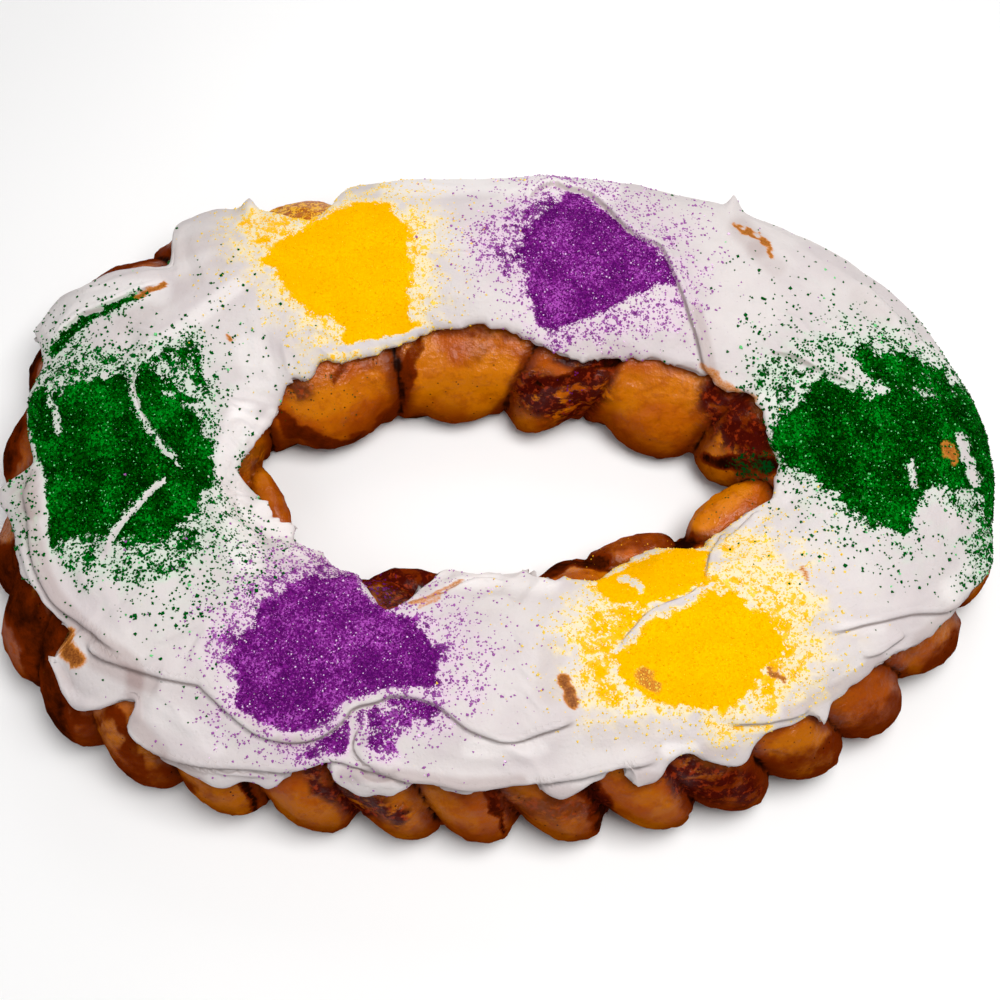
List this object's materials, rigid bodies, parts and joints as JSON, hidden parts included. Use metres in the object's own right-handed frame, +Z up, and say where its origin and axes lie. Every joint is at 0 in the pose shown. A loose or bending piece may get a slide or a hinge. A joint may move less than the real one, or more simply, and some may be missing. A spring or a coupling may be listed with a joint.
{
  "type": "king cake",
  "caption": "Oval braided ring cake with a draped white icing, its folds and runs, and patches of coarse coloured sugar on top.",
  "frame": {"origin": "middle of the underside, at the centre of the cake's outer box", "axes": "+X along the cake's length, +Y across it to the far side, +Z up through the icing"},
  "size_m": [0.3788, 0.2648, 0.0556],
  "materials": {
    "crust": "baked dough, golden brown to dark cinnamon, softly glossy",
    "icing": "white icing, smooth, softly glossy",
    "green_sugar": "coarse sugar crystals, green",
    "purple_sugar": "coarse sugar crystals, purple",
    "gold_sugar": "coarse sugar crystals, yellow"
  },
  "bodies": {
    "root": {"braid": "crust", "icing": "icing"}
  },
  "joints": []
}
